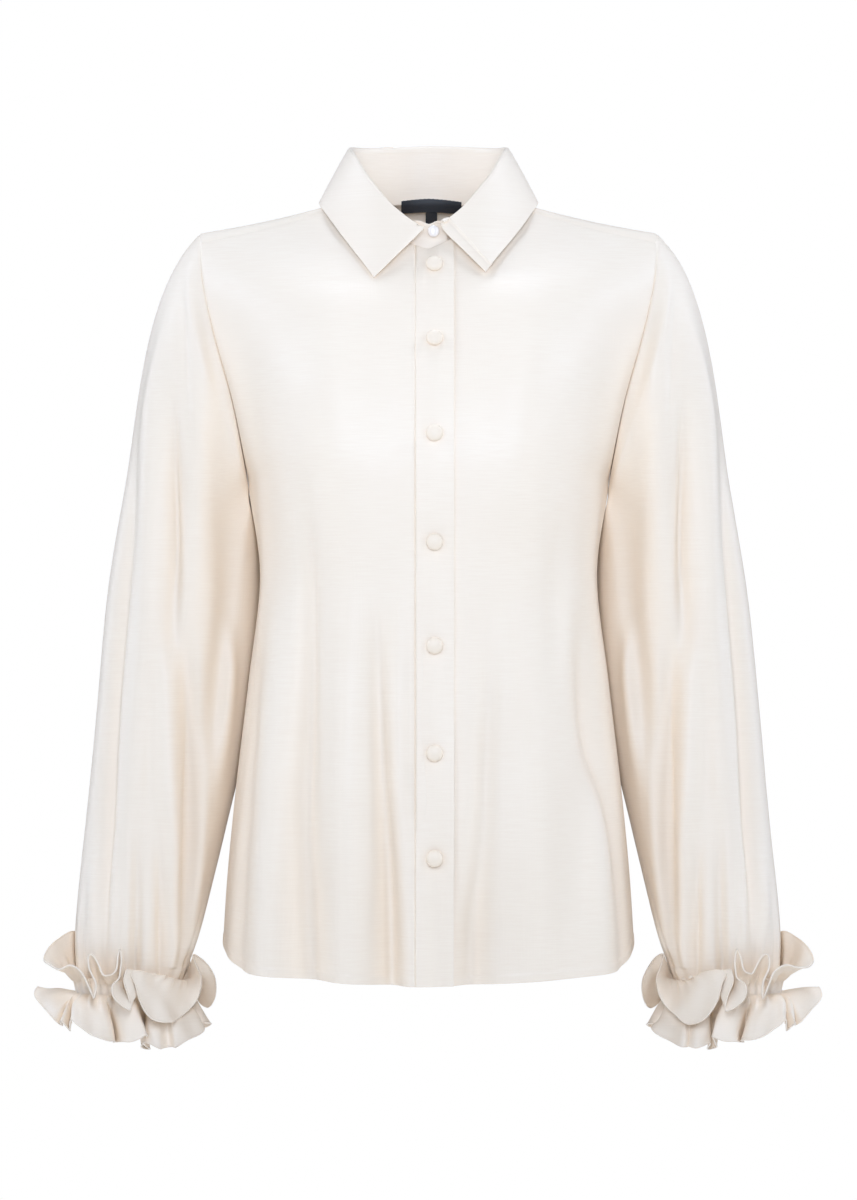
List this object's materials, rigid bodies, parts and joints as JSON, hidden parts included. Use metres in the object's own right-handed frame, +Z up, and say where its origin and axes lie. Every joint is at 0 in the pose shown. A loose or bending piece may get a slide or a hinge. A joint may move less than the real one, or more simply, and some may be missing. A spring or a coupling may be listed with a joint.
{
  "type": "wool blouse",
  "caption": "Long-sleeved button-front blouse of satin-faced wool, with a pointed shirt collar, curved hem and full sleeves gathered into ruffled cuffs.",
  "frame": {"origin": "midway between the shoulders' two neck points, where the wearer's neck and shoulders carry the blouse", "axes": "+Z up, the front faces -Y, +X towards the wearer's left sleeve"},
  "size_m": [0.6678, 0.2383, 0.761],
  "materials": {
    "satin_wool": "soft satin-faced weave",
    "button_cloth": "satin cloth stretched over a dome",
    "pearl": "pearl",
    "label_weave": "damask woven"
  },
  "bodies": {
    "root": {"front_right": "satin_wool", "front_left": "satin_wool", "button_band": "satin_wool", "back": "satin_wool", "yoke": "satin_wool", "sleeve_left": "satin_wool", "sleeve_right": "satin_wool", "ruffle_left": "satin_wool", "ruffle_right": "satin_wool", "collar_stand": "satin_wool", "collar": "satin_wool", "button_1": "button_cloth", "button_2": "button_cloth", "button_3": "button_cloth", "button_4": "button_cloth", "button_5": "button_cloth", "button_6": "button_cloth", "button_7": "button_cloth", "button_collar": "pearl", "neck_label": "label_weave", "size_tab": "label_weave"}
  },
  "joints": []
}
